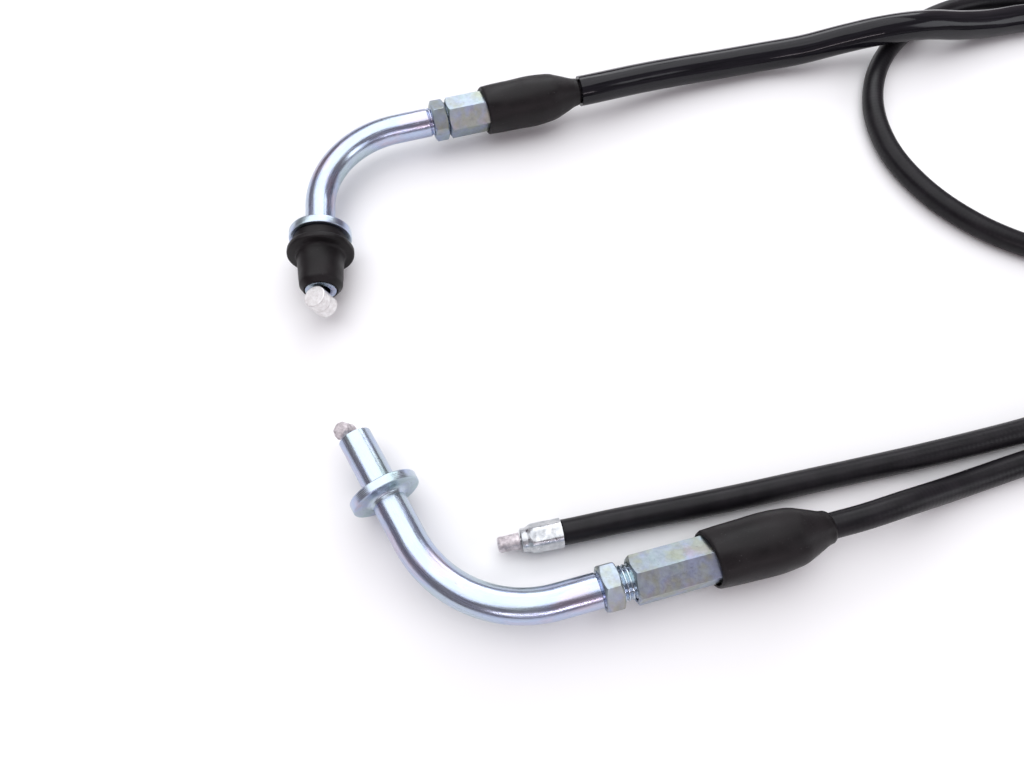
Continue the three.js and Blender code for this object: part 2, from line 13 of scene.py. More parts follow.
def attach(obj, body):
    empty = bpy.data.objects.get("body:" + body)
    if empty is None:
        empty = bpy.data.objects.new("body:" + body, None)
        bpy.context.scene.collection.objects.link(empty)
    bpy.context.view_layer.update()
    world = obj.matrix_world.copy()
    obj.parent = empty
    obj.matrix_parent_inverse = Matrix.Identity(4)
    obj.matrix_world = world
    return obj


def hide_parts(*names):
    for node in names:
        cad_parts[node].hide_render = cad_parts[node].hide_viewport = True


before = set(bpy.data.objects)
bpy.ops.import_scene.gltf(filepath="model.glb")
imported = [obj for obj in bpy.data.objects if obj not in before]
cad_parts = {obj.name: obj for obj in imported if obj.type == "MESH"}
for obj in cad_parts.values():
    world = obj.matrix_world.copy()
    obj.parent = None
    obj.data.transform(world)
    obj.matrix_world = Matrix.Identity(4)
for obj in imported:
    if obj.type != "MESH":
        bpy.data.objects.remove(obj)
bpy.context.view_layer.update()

# ---------------------------------------------------------------------------------------------------
# Sizes and places, as the part has them
# ---------------------------------------------------------------------------------------------------

MM = 0.001
GAP = 0.3
FOOTPRINT_CENTRE = (106.5, 42.0)

WIRE_RADIUS = 0.75
TRAVEL = 12.5
CONDUIT_RADIUS = 3.0
CONDUIT_BORE = 1.3
CAP_WALL = 0.7
CAP_RADIUS = CONDUIT_RADIUS + GAP + CAP_WALL
TUBE_RADIUS = 4.0
TUBE_BORE = 2.5
HEX_FLATS = 10.0
NUT_THICKNESS = 4.2
ADJUSTER = {"length": 26.0, "thread": 16.3, "web": 1.6, "shank_gap": 2.5}
BOOT = {"length": 30.0, "mouth": 24.8, "wall": 0.8, "tail": 3.9}
FLANGE = {"radius": 8.25, "thickness": 2.3}
GROMMET = {"neck": (7.3, 3.0), "rim": (8.9, 1.8), "plug": (6.2, 5.65, 11.0)}
SHEATH = {"radius": 4.3, "bore": 3.45, "length": 154.0}

# The places along an elbow are from the end of its bend, and its nose is from the flange's middle.
GRIP = {
    "name": "grip", "place": (-33.6, 81.7, 8.9), "heading": 15.5, "turn": -1,
    "bend_radius": 26.2, "bend_angle": 80.8, "straight": 10.0, "nose": 17.3,
    "hex_phase": 21, "nut_phase": 11.5, "nut_at": 10.7, "adjuster_at": 15.2, "boot_at": 25.3,
    "nipple": {"radius": 3.0, "length": 6.4, "lean": 20, "across": 0.0},
}
CARB = {
    "name": "carb", "place": (9.7, -52.4, 8.25), "heading": 15.0, "turn": 1,
    "bend_radius": 29.0, "bend_angle": 74.6, "straight": 12.8, "nose": 16.0,
    "hex_phase": -3, "nut_phase": 12.4, "nut_at": 10.0, "adjuster_at": 17.0, "boot_at": 34.2,
    "nipple": {"radius": 2.2, "length": 5.4, "lean": -24, "across": 1.3},
}
PUMP = {
    "mouth": (2.1, -37.8, 3.5), "heading": 11.3, "length": 9.6, "collar": 1.6, "radius": 3.45, "wall": 0.4,
    "liner": CONDUIT_RADIUS - 0.5, "hex_phase": 38,
}
SPLITTER = {
    "place": (202, 135.6, 10.0), "heading": -25, "radius": 10.0, "boss": 6.1, "boss_length": 9.0, "wall": 1.5,
    "end_wall": 4.0, "socket_depth": 8.0, "port": 4.6, "body_end": 60.9, "cap_face": 61.2, "sockets": 64.2,
    "cap_end": 72.2, "cavity_end": 56.9,
}
CAP_FLOOR = 1.0  # the end of a conduit's cap, which the conduit stops at

# The conduits' centre lines: x, y and the lift off the table, from fitting to splitter.
GRIP_ROUTE = [
    (39.0, 103.5, 4.3), (51.8, 108.0, 3.0), (64.6, 111.6, 2.3), (77.6, 114.9, 2.1),
    (90.2, 117.0, 3.0), (102.8, 119.3, 5.0), (112.5, 120.4, 6.9), (121.5, 121.8, 7.5),
    (131.0, 123.9, 6.6), (142.0, 126.6, 4.2), (153.5, 130.0, 2.1), (164.5, 133.0, 1.4),
    (175.0, 133.8, 1.3), (185.0, 131.2, 0.6), (193.5, 125.0, 0), (199.8, 116.0, 0),
    (203.8, 105.0, 0), (205.2, 93.0, 0), (203.8, 80.5, 0), (199.0, 67.5, 0),
    (190.5, 55.5, 0), (178.5, 46.0, 0), (165.0, 41.2, 0), (152.5, 41.6, 0),
    (141.8, 45.2, 0), (130.0, 52.4, 0), (119.4, 63.3, 0), (112.0, 77.6, 0),
    (110.0, 92.5, 0), (112.4, 106.0, 0), (118.6, 118.6, 0), (128.0, 129.2, 0),
    (140.0, 137.2, 0), (153.0, 141.8, 0), (166.0, 143.3, 0.1), (177.0, 143.1, 2.0),
]
CARB_ROUTE = [
    (91.0, -30.0, 4.5), (98.8, -27.3, 2.5), (106.8, -24.5, 0.8), (114.6, -21.8, 0.1),
    (123.7, -18.8, 0), (139.0, -14.0, 0), (160.0, -7.4, 0), (185.0, 0.5, 0),
    (210.0, 8.4, 0), (234.0, 16.0, 0), (256.0, 22.8, 0), (274.0, 29.6, 0),
    (289.0, 40.2, 0), (298.6, 54.6, 0), (300.8, 71.0, 0.2), (295.4, 86.6, 2.0),
]
PUMP_ROUTE = [
    (25.2, -33.0, 0.4), (39.6, -30.1, 0.1), (54.0, -27.1, 0), (68.8, -23.8, 0),
    (83.7, -20.5, 0), (99.0, -17.0, 0), (114.5, -13.2, 0), (126.0, -10.2, 0),
    (140.0, -6.0, 0), (160.0, 0.0, 0), (184.0, 7.8, 0), (208.0, 15.8, 0),
    (231.0, 23.6, 0), (251.0, 30.4, 0), (267.0, 36.8, 0), (279.6, 46.0, 0),
    (287.8, 58.0, 0), (290.0, 71.2, 0.3), (286.4, 83.6, 2.2),
]
ROOT = "conduits_and_splitter"


def shank_end(end):
    return end["adjuster_at"] + ADJUSTER["thread"] - ADJUSTER["shank_gap"]


def adjuster_end(end):
    return end["adjuster_at"] + ADJUSTER["length"]


def conduit_start(end):
    return end["adjuster_at"] + ADJUSTER["thread"] + ADJUSTER["web"] + GAP + CAP_FLOOR + GAP


def boot_end(end):
    return end["boot_at"] + BOOT["length"]


def frame_at(place, heading):
    """A frame on the table, its +X along heading. Its matrix is in metres, in the row frame."""
    x, y, z = place
    origin = Vector((x - FOOTPRINT_CENTRE[0], y - FOOTPRINT_CENTRE[1], z)) * MM
    return Matrix.Translation(origin) @ Matrix.Rotation(math.radians(heading), 4, "Z")


def shifted(matrix, x, y=0.0, z=0.0):
    return matrix @ Matrix.Translation(Vector((x, y, z)) * MM)


# ---------------------------------------------------------------------------------------------------
# Camera, floor and light
# ---------------------------------------------------------------------------------------------------


def make_camera():
    data = bpy.data.cameras.new("camera")
    data.sensor_width = 36
    data.lens = 27.42
    data.clip_start = 0.01
    camera = bpy.data.objects.new("camera", data)
    camera.location = (-FOOTPRINT_CENTRE[0] * MM, (-82.9 - FOOTPRINT_CENTRE[1]) * MM, 181.2 * MM)
    camera.rotation_euler = (math.radians(90 - 64.4), 0, 0)
    bpy.context.scene.collection.objects.link(camera)
    bpy.context.scene.camera = camera


def soft_light(name, place, aim, size, power, colour=(1, 1, 1)):
    data = bpy.data.lights.new(name, "AREA")
    data.shape = "RECTANGLE"
    data.size, data.size_y = size
    data.energy = power
    data.color = colour
    lamp = bpy.data.objects.new(name, data)
    lamp.location = place
    lamp.rotation_euler = (Vector(aim) - Vector(place)).to_track_quat("-Z", "Y").to_euler()
    bpy.context.scene.collection.objects.link(lamp)


def make_stage():
    scene = bpy.context.scene
    scene.view_settings.view_transform = "Standard"
    world = bpy.data.worlds.new("studio")
    world.use_nodes = True
    background = world.node_tree.nodes["Background"]
    background.inputs["Color"].default_value = (0.5, 0.43, 0.48, 1)
    background.inputs["Strength"].default_value = 0.48
    scene.world = world
    bpy.ops.mesh.primitive_plane_add(size=6, location=(0, 0, 0))
    floor = bpy.context.object
    floor.name = "floor"
    material = bpy.data.materials.new("floor_white")
    material.use_nodes = True
    shader = material.node_tree.nodes["Principled BSDF"]
    shader.inputs["Base Color"].default_value = (0.93, 0.93, 0.93, 1)
    shader.inputs["Roughness"].default_value = 0.9
    shader.inputs["Specular IOR Level"].default_value = 0.1
    floor.data.materials.append(material)
    soft_light("key", (-0.2, 0.25, 0.85), (-0.02, 0, 0), (1.6, 1.3), 12.4, (0.96, 0.98, 1))
    soft_light("fill", (0.95, -0.3, 0.5), (0, 0, 0), (0.5, 0.5), 2.0, (0.93, 0.96, 1))
    soft_light("front", (0.1, -0.78, 0.36), (0, -0.02, 0), (0.8, 0.045), 1.3, (1, 0.9, 0.96))
    soft_light("back", (0.1, 0.95, 0.5), (0, 0.05, 0), (0.9, 0.35), 3.0, (0.95, 0.97, 1))


make_camera()
make_stage()


# ---------------------------------------------------------------------------------------------------
# Materials
# ---------------------------------------------------------------------------------------------------


class Finish:
    """A node material: a Principled shader, with helpers that add nodes to it."""

    def __init__(self, name, colour, roughness, metallic=0.0, specular=0.5):
        self.material = bpy.data.materials.new(name)
        self.material.use_nodes = True
        self.nodes = self.material.node_tree.nodes
        self.links = self.material.node_tree.links
        self.shader = self.nodes["Principled BSDF"]
        self.shader.inputs["Base Color"].default_value = (*colour, 1)
        self.shader.inputs["Roughness"].default_value = roughness
        self.shader.inputs["Metallic"].default_value = metallic
        self.shader.inputs["Specular IOR Level"].default_value = specular

    def add(self, kind, links=(), **values):
        node = self.nodes.new(kind)
        for key, value in values.items():
            if hasattr(node, key):
                setattr(node, key, value)
            else:
                node.inputs[key].default_value = value
        for key, source in links:
            self.links.new(source, node.inputs[key])
        return node

    def place(self, scale=(1, 1, 1), straight=False):
        """Coordinates in metres: the piece's own, or along and across a swept piece."""
        if straight:
            source = self.add("ShaderNodeAttribute", attribute_name="straight").outputs["Vector"]
        else:
            source = self.add("ShaderNodeTexCoord").outputs["Object"]
        mapping = self.add("ShaderNodeMapping", [("Vector", source)])
        mapping.inputs["Scale"].default_value = scale
        return mapping.outputs["Vector"]

    def noise(self, vector, scale, detail=3.0, roughness=0.55):
        node = self.add("ShaderNodeTexNoise", [("Vector", vector)])
        node.inputs["Scale"].default_value = scale
        node.inputs["Detail"].default_value = detail
        node.inputs["Roughness"].default_value = roughness
        return node.outputs["Fac"]

    def ramp(self, fac, stops):
        node = self.add("ShaderNodeValToRGB", [("Fac", fac)])
        elements = node.color_ramp.elements
        while len(elements) < len(stops):
            elements.new(0.5)
        for element, (position, colour) in zip(elements, stops):
            element.position = position
            element.color = (*colour, 1) if len(colour) == 3 else colour
        return node.outputs["Color"]

    def mix(self, fac, a, b, blend="MIX"):
        node = self.add("ShaderNodeMix", data_type="RGBA", blend_type=blend)
        for socket, value in zip((node.inputs[0], node.inputs[6], node.inputs[7]), (fac, a, b)):
            if isinstance(value, bpy.types.NodeSocket):
                self.links.new(value, socket)
            elif isinstance(value, (int, float)):
                socket.default_value = value
            else:
                socket.default_value = (*value, 1)
        return node.outputs[2]

    def map_range(self, value, low, high, to_low, to_high):
        node = self.add("ShaderNodeMapRange", [("Value", value)])
        for name, number in (
            ("From Min", low), ("From Max", high), ("To Min", to_low), ("To Max", to_high),
        ):
            node.inputs[name].default_value = number
        return node.outputs["Result"]

    def maths(self, operation, a, b=0.0):
        node = self.add("ShaderNodeMath", operation=operation)
        for socket, value in zip(node.inputs, (a, b)):
            if isinstance(value, bpy.types.NodeSocket):
                self.links.new(value, socket)
            else:
                socket.default_value = value
        return node.outputs["Value"]

    def bump(self, *heights):
        """Bumps one on another: (height socket, distance in metres, strength)."""
        normal = None
        for height, distance, strength in heights:
            node = self.add("ShaderNodeBump", [("Height", height)])
            node.inputs["Distance"].default_value = distance
            node.inputs["Strength"].default_value = strength
            if normal is not None:
                self.links.new(normal, node.inputs["Normal"])
            normal = node.outputs["Normal"]
        self.links.new(normal, self.shader.inputs["Normal"])

    def set(self, name, source):
        self.links.new(source, self.shader.inputs[name])


def zinc_finish(name, grain, depth, straight=False, turned=False, yellow=0.0):
    """Bright passivated zinc plate: blue, lilac and green tints, small pits, and the marks of its making:
    lengthwise where it is drawn, round its axis where it is turned, and a fine mottle on the flats."""
    zinc = Finish(name, (0.7, 0.76, 0.8), 0.2, metallic=1.0)
    place = zinc.place(straight=straight)
    tints = [
        (0.32, (0.42, 0.55, 0.57)), (0.43, (0.5, 0.6, 0.65)), (0.5, (0.51, 0.59, 0.69)),
        (0.58, (0.48, 0.56, 0.74)), (0.68, (0.56, 0.53, 0.65)),
    ]
    drawn = zinc.place((0.35, 1, 1), straight=True) if straight else place
    colour = zinc.ramp(
        zinc.noise(drawn, 130, 4.0, 0.6), [(stop, tuple(depth * c for c in tint)) for stop, tint in tints]
    )
    if yellow:
        patches = zinc.ramp(zinc.noise(place, 210, 3.0), [(0.45, (0, 0, 0)), (0.62, (yellow,) * 3)])
        colour = zinc.mix(patches, colour, (0.4, 0.43, 0.31))
    cloud = zinc.ramp(zinc.noise(place, 620, 4.0, 0.7), [(0.36, (0.62, 0.6, 0.62)), (0.62, (1, 1, 1))])
    colour = zinc.mix(4 * grain, colour, cloud, "MULTIPLY")
    specks = zinc.ramp(zinc.noise(place, 1300, 2.0), [(0.68, (0, 0, 0)), (0.76, (0.5,) * 3)])
    zinc.set("Base Color", zinc.mix(specks, colour, (0.2, 0.2, 0.21)))
    if turned:
        apart = zinc.add("ShaderNodeSeparateXYZ", [("Vector", place)])
        radius = zinc.maths("SQRT", zinc.maths(
            "ADD", zinc.maths("POWER", apart.outputs["Y"], 2.0), zinc.maths("POWER", apart.outputs["Z"], 2.0)
        ))
        lathe = zinc.add("ShaderNodeCombineXYZ", [("X", apart.outputs["X"]), ("Y", radius)])
        marks = zinc.noise(lathe.outputs["Vector"], 5200, 2.0)
    elif straight:
        marks = zinc.noise(zinc.place((0.05, 1, 1), straight=True), 2600, 2.0)
    else:
        marks = zinc.noise(place, 1700, 4.0, 0.75)
    zinc.set("Roughness", zinc.map_range(marks, 0.3, 0.7, 0.19 + grain, 0.32 + 1.6 * grain))
    zinc.bump((zinc.noise(place, 420, 3.0), 0.00008, 0.25 + grain), (marks, 0.00003, 0.25 + 4 * grain))
    return zinc.material


def cast_finish(name, light, dark, roughness, relief):
    """Die-cast metal: light, mottled, and rough by relief."""
    cast = Finish(name, light, roughness, metallic=0.85)
    place = cast.place()
    mottled = cast.ramp(cast.noise(place, 900, 5.0, 0.7), [(0.38, dark), (0.6, light)])
    cast.set("Base Color", mottled)
    grain = cast.noise(place, 1500)
    cast.set("Roughness", cast.map_range(grain, 0.3, 0.7, roughness - 0.1, roughness + 0.15))
    lumps = cast.noise(place, 1300, 4.0, 0.65)
    cast.bump((lumps, 0.00022, 0.8 * relief), (cast.noise(place, 4200), 0.00006, 0.5))
    return cast.material


def rubber_finish():
    """Moulded black rubber: matt, a little brown, with faint flow marks and a few pale specks of dust."""
    rubber = Finish("boot_rubber", (0.01, 0.008, 0.009), 0.46, specular=0.22)
    place = rubber.place()
    base = rubber.ramp(
        rubber.noise(place, 130, 4.0), [(0.35, (0.005, 0.004, 0.0045)), (0.7, (0.012, 0.0095, 0.0105))]
    )
    dust = rubber.ramp(rubber.noise(place, 3300, 1.0), [(0.74, (0, 0, 0)), (0.78, (0.25,) * 3)])
    rubber.set("Base Color", rubber.mix(dust, base, (0.2, 0.19, 0.2)))
    rubber.set("Roughness", rubber.map_range(rubber.noise(place, 260, 3.0), 0.3, 0.7, 0.36, 0.54))
    flow = rubber.noise(rubber.place((0.12, 1, 1)), 900, 2.0)
    rubber.bump((rubber.noise(place, 2400, 3.0), 0.00006, 0.5), (flow, 0.00005, 0.4))
    return rubber.material


def conduit_finish():
    """The conduit's black PVC cover: satin, with the turns of the steel spiral just showing through."""
    pvc = Finish("conduit_pvc", (0.008, 0.008, 0.009), 0.33, specular=0.22)
    place = pvc.place(straight=True)
    pvc.set("Base Color", pvc.ramp(
        pvc.noise(place, 220, 3.0), [(0.35, (0.006, 0.0055, 0.007)), (0.7, (0.012, 0.0105, 0.013))]
    ))
    lengthwise = pvc.noise(pvc.place((0.1, 1, 1), straight=True), 700, 3.0)
    pvc.set("Roughness", pvc.map_range(lengthwise, 0.3, 0.7, 0.3, 0.46))
    rings = pvc.add("ShaderNodeTexWave", [("Vector", place)], wave_type="BANDS", bands_direction="X")
    rings.inputs["Scale"].default_value = 260
    rings.inputs["Distortion"].default_value = 0.6
    pvc.bump((rings.outputs["Fac"], 0.00004, 0.28), (pvc.noise(place, 2600, 2.0), 0.00003, 0.3))
    return pvc.material


def sheath_finish():
    """The glossy protective tube over the grip's conduit, with fine lengthwise scuffs."""
    pvc = Finish("sheath_pvc", (0.009, 0.009, 0.012), 0.1, specular=0.25)
    lengthwise = pvc.noise(pvc.place((0.04, 1, 1), straight=True), 1700, 2.0)
    pvc.set("Roughness", pvc.map_range(lengthwise, 0.3, 0.75, 0.07, 0.17))
    pvc.set("Base Color", pvc.ramp(lengthwise, [(0.35, (0.006, 0.006, 0.008)), (0.75, (0.014, 0.013, 0.017))]))
    pvc.bump((pvc.noise(pvc.place((0.3, 1, 1), straight=True), 300, 2.0), 0.00012, 0.35))
    return pvc.material


def alloy_finish():
    """The crimped ferrule's soft aluminium: satin, with tool marks and a few dents."""
    alloy = Finish("crimped_alloy", (0.6, 0.61, 0.63), 0.32, metallic=1.0)
    place = alloy.place()
    alloy.set("Base Color", alloy.ramp(
        alloy.noise(place, 500, 4.0), [(0.35, (0.42, 0.44, 0.46)), (0.65, (0.68, 0.69, 0.7))]
    ))
    alloy.set("Roughness", alloy.map_range(alloy.noise(place, 900, 3.0), 0.3, 0.7, 0.22, 0.48))
    alloy.bump((alloy.noise(place, 700, 3.0), 0.00016, 0.6), (alloy.noise(place, 3600), 0.00004, 0.5))
    return alloy.material


def moulded_finish(name, light, dark, roughness):
    """Moulded plastic with a fine spark-eroded texture."""
    plastic = Finish(name, light, roughness)
    place = plastic.place()
    plastic.set("Base Color", plastic.ramp(plastic.noise(place, 160, 3.0), [(0.35, dark), (0.7, light)]))
    worn = plastic.noise(place, 500)
    plastic.set("Roughness", plastic.map_range(worn, 0.3, 0.7, roughness - 0.08, roughness + 0.08))
    plastic.bump((plastic.noise(place, 3200, 3.0), 0.00005, 0.6))
    return plastic.material


def wire_finish():
    wire = Finish("steel_wire", (0.62, 0.63, 0.65), 0.3, metallic=1.0)
    place = wire.place()
    wire.set("Base Color", wire.ramp(
        wire.noise(place, 1200, 3.0), [(0.35, (0.42, 0.42, 0.43)), (0.65, (0.72, 0.72, 0.74))]
    ))
    wire.set("Roughness", wire.map_range(wire.noise(place, 2500), 0.3, 0.7, 0.24, 0.42))
    return wire.material


ZINC_TUBE = zinc_finish("zinc_tube", 0.0, 0.92, straight=True)
ZINC_TURNED = zinc_finish("zinc_turned", 0.03, 0.95, turned=True)
ZINC_HEX = zinc_finish("zinc_hex", 0.12, 0.78, yellow=0.7)
CAST_WHITE = cast_finish("nipple_white", (0.86, 0.85, 0.85), (0.7, 0.68, 0.67), 0.4, 0.1)
CAST_ROUGH = cast_finish("nipple_rough", (0.74, 0.69, 0.71), (0.42, 0.38, 0.4), 0.48, 0.8)
RUBBER = rubber_finish()
CONDUIT_PVC = conduit_finish()
SHEATH_PVC = sheath_finish()
ALLOY = alloy_finish()
NYLON = moulded_finish("splitter_nylon", (0.03, 0.03, 0.032), (0.016, 0.016, 0.017), 0.46)
ACETAL = moulded_finish("slider_acetal", (0.78, 0.77, 0.73), (0.7, 0.69, 0.64), 0.38)
STEEL = wire_finish()


# ---------------------------------------------------------------------------------------------------
# Mesh helpers
# ---------------------------------------------------------------------------------------------------


def skin(rings, closed=True):
    """Points and faces of a surface through rings of points, closed on itself or capped at both ends."""
    count = len(rings[0])
    points = [p for ring in rings for p in ring]
    faces = []
    for i in range(len(rings) if closed else len(rings) - 1):
        a, b = i * count, (i + 1) % len(rings) * count
        for j in range(count):
            k = (j + 1) % count
            faces.append((a + j, a + k, b + k, b + j))
    if not closed:
        last = (len(rings) - 1) * count
        faces += [tuple(range(count))[::-1], tuple(range(last, last + count))]
    return points, faces


def new_piece(name, shape, material, body, matrix=None, stands_for=(), sharp=34, straight=None):
    """A piece from points in mm and faces, smooth but for its sharp edges, riding on a CAD body."""
    points, faces = shape
    mesh = bpy.data.meshes.new(name)
    mesh.from_pydata([Vector(p) * MM for p in points], [], faces)
    work = bmesh.new()
    work.from_mesh(mesh)
    bmesh.ops.recalc_face_normals(work, faces=work.faces)
    work.to_mesh(mesh)
    work.free()
    mesh.polygons.foreach_set("use_smooth", [True] * len(mesh.polygons))
    mesh.set_sharp_from_angle(angle=math.radians(sharp))
    mesh.materials.append(material)
    if straight:
        layer = mesh.attributes.new("straight", "FLOAT_VECTOR", "POINT")
        layer.data.foreach_set("vector", [c * MM for p in straight for c in p])
    piece = bpy.data.objects.new(name, mesh)
    bpy.context.scene.collection.objects.link(piece)
    piece.matrix_world = matrix or Matrix()
    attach(piece, body)
    if stands_for:
        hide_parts(*stands_for)
    return piece


def soften(piece, width, segments=2, angle=32):
    """Rounds a piece's sharp edges by width mm."""
    bevel = piece.modifiers.new("soft_edges", "BEVEL")
    bevel.width = width * MM
    bevel.segments = segments
    bevel.limit_method = "ANGLE"
    bevel.angle_limit = math.radians(angle)
    bevel.harden_normals = True
    return piece


def rounded(profile, closed=True, steps=4):
    """A profile of (x, radius, fillet) points, each corner cut back by its fillet and rounded."""
    made = []
    count = len(profile)
    for i, (x, r, *fillet) in enumerate(profile):
        corner = Vector((x, r))
        ends = not closed and i in (0, count - 1)
        if not fillet or ends:
            made.append((x, r))
            continue
        before = Vector(profile[i - 1][:2]) - corner
        after = Vector(profile[(i + 1) % count][:2]) - corner
        a = corner + before.normalized() * min(fillet[0], 0.49 * before.length)
        b = corner + after.normalized() * min(fillet[0], 0.49 * after.length)
        for k in range(steps + 1):
            t = k / steps
            made.append(tuple(a * (1 - t) ** 2 + corner * 2 * t * (1 - t) + b * t * t))
    return made


def turned(profile, sides=72, warp=None, closed=True):
    """A profile of (x, radius) turned about +X. warp(x, radius, angle) may move its points. A closed profile
    makes a ring, and an open one a solid with flat ends."""
    rings = []
    for x, r in profile:
        ring = []
        for j in range(sides):
            angle = 2 * math.pi * j / sides
            px, pr = warp(x, r, angle) if warp else (x, r)
            ring.append((px, pr * math.cos(angle), pr * math.sin(angle)))
        rings.append(ring)
    return skin(rings, closed)


def cut(shape, tools):
    """The points and faces of a closed shape with other closed shapes cut out of it."""
    made = []
    for points, faces in (shape, *tools):
        mesh = bpy.data.meshes.new("cut")
        mesh.from_pydata([Vector(p) for p in points], [], faces)
        work = bmesh.new()
        work.from_mesh(mesh)
        bmesh.ops.recalc_face_normals(work, faces=work.faces)
        work.to_mesh(mesh)
        work.free()
        made.append(bpy.data.objects.new("cut", mesh))
        bpy.context.scene.collection.objects.link(made[-1])
    for cutter in made[1:]:
        modifier = made[0].modifiers.new("cut", "BOOLEAN")
        modifier.operation = "DIFFERENCE"
        modifier.solver = "EXACT"
        modifier.object = cutter
    depsgraph = bpy.context.evaluated_depsgraph_get()
    result = bpy.data.meshes.new_from_object(made[0].evaluated_get(depsgraph))
    points = [v.co.copy() for v in result.vertices]
    faces = [tuple(polygon.vertices) for polygon in result.polygons]
    for left in made:
        bpy.data.objects.remove(left)
    return points, faces


def finer(profile, step):
    """The same profile with no straight stretch longer than step."""
    made = []
    for (x0, r0), (x1, r1) in zip(profile, profile[1:] + profile[:1]):
        parts = max(1, math.ceil(math.hypot(x1 - x0, r1 - r0) / step))
        made += [(x0 + (x1 - x0) * k / parts, r0 + (r1 - r0) * k / parts) for k in range(parts)]
    return made


def hex_bar(length, flats, bore, phase, chamfers, face=0.94, per_side=12, bore_chamfer=0.35):
    """A hexagonal bar along +X with a round bore. chamfers says which ends are turned down at 30 degrees."""
    half = flats / 2
    end_radius = half * face
    rings = [[], [], [], [], [], [], [], []]
    for j in range(6 * per_side):
        offset = (j % per_side) / per_side * 60 - 30
        angle = math.radians(60 * (j // per_side) + 30 + offset + phase)
        reach = half / math.cos(math.radians(offset))
        start = (reach - end_radius) * math.tan(math.radians(30)) if chamfers[0] else 0
        stop = (reach - end_radius) * math.tan(math.radians(30)) if chamfers[1] else 0
        around = Vector((0, -math.sin(angle), math.cos(angle)))

        def at(x, r, around=around):
            return Vector((x, 0, 0)) + around * r

        first = end_radius if chamfers[0] else reach
        last = end_radius if chamfers[1] else reach
        places = [
            (0, bore + bore_chamfer), (0, first - 0.001), (start, reach), (length - stop, reach),
            (length, last - 0.001), (length, bore + bore_chamfer), (length - bore_chamfer, bore),
            (bore_chamfer, bore),
        ]
        for ring, (x, r) in zip(rings, places):
            ring.append(at(x, r))
    return skin(rings)


def elbow_at(end, s):
    """The centre and heading in radians, in an elbow's own frame, s mm from its bend's end towards the boot."""
    radius, turn = end["bend_radius"], end["turn"]
    if s >= 0:
        return Vector((s, 0, 0)), 0.0
    whole = math.radians(end["bend_angle"])
    angle = min(-s / radius, whole)
    centre = Vector((-radius * math.sin(angle), turn * radius * (1 - math.cos(angle)), 0))
    beyond = max(0.0, -s - radius * whole)
    centre += Vector((-math.cos(angle), turn * math.sin(angle), 0)) * beyond
    return centre, -turn * angle


def nose_end(end):
    """How far the flange's middle is along the elbow from the bend's end."""
    return end["bend_radius"] * math.radians(end["bend_angle"]) + end["straight"]


def nose_matrix(end):
    """The frame at the flange's middle, its +X pointing out of the nose."""
    flange, _ = elbow_at(end, -nose_end(end))
    base = shifted(frame_at(end["place"], end["heading"]), *flange)
    return base @ Matrix.Rotation(math.radians(180 - end["turn"] * end["bend_angle"]), 4, "Z")


def span(start, stop, step):
    count = max(1, math.ceil(abs(stop - start) / step))
    return [start + (stop - start) * k / count for k in range(count + 1)]


def swept(path, radius_at, sides, bore, lip=0.25):
    """A tube along a path of (centre, across, up) frames, with a bore and a rounded lip at both ends.
    radius_at(distance, angle) is its outer radius. It also gives each point's place on the straight tube."""
    distances = [0.0]
    for (a, *_), (b, *_) in zip(path, path[1:]):
        distances.append(distances[-1] + (b - a).length)
    rows = [(i, None) for i in range(len(path))]
    first, last = 0, len(path) - 1
    inside = [(i, "bore") for i in range(last, first, -4)] + [(first, "bore")]
    profile = [(first, -lip)] + rows + [(last, -lip)] + inside
    rings, straight = [], []
    for i, kind in profile:
        centre, across, up = path[i]
        ring = []
        for j in range(sides):
            angle = 2 * math.pi * j / sides
            if kind == "bore":
                r = bore
            else:
                r = radius_at(distances[i], angle) + (kind or 0.0)
            ring.append(centre + (across * math.cos(angle) + up * math.sin(angle)) * r)
            straight.append((distances[i], r * math.cos(angle), r * math.sin(angle)))
        rings.append(ring)
    points, faces = skin(rings)
    return points, faces, straight


# ---------------------------------------------------------------------------------------------------
# The conduits
# ---------------------------------------------------------------------------------------------------


def centripetal(points, per_span=24):
    """A centripetal Catmull-Rom curve through points, as a list of points."""
    points = [Vector(p) for p in points]
    ghosts = [2 * points[0] - points[1]] + points + [2 * points[-1] - points[-2]]
    made = []
    for p0, p1, p2, p3 in zip(ghosts, ghosts[1:], ghosts[2:], ghosts[3:]):
        d0, d1, d2 = (math.sqrt((b - a).length) for a, b in ((p0, p1), (p1, p2), (p2, p3)))
        t1 = ((p1 - p0) / d0 - (p2 - p0) / (d0 + d1) + (p2 - p1) / d1) * d1
        t2 = ((p2 - p1) / d1 - (p3 - p1) / (d1 + d2) + (p3 - p2) / d2) * d1
        for k in range(per_span):
            t = k / per_span
            h00, h10 = 2 * t**3 - 3 * t**2 + 1, t**3 - 2 * t**2 + t
            h01, h11 = 3 * t**2 - 2 * t**3, t**3 - t**2
            made.append(p1 * h00 + t1 * h10 + p2 * h01 + t2 * h11)
    return [*made, points[-1]]


def evenly(line, step):
    """Points along a line, step apart."""
    lengths = [0.0]
    for a, b in zip(line, line[1:]):
        lengths.append(lengths[-1] + (b - a).length)
    made, i = [], 0
    for distance in span(0, lengths[-1], step):
        while i < len(line) - 2 and lengths[i + 1] < distance:
            i += 1
        t = (distance - lengths[i]) / (lengths[i + 1] - lengths[i])
        made.append(line[i].lerp(line[i + 1], min(1, t)))
    return made, lengths[-1]


def carried(line):
    """Each point of a line with a pair of directions across it that twist as little as they can."""
    made = []
    up = Vector((0, 0, 1))
    for i, point in enumerate(line):
        along = (line[min(i + 1, len(line) - 1)] - line[max(i - 1, 0)]).normalized()
        up = (up - along * up.dot(along)).normalized()
        made.append((point, up.cross(along), up))
    return made


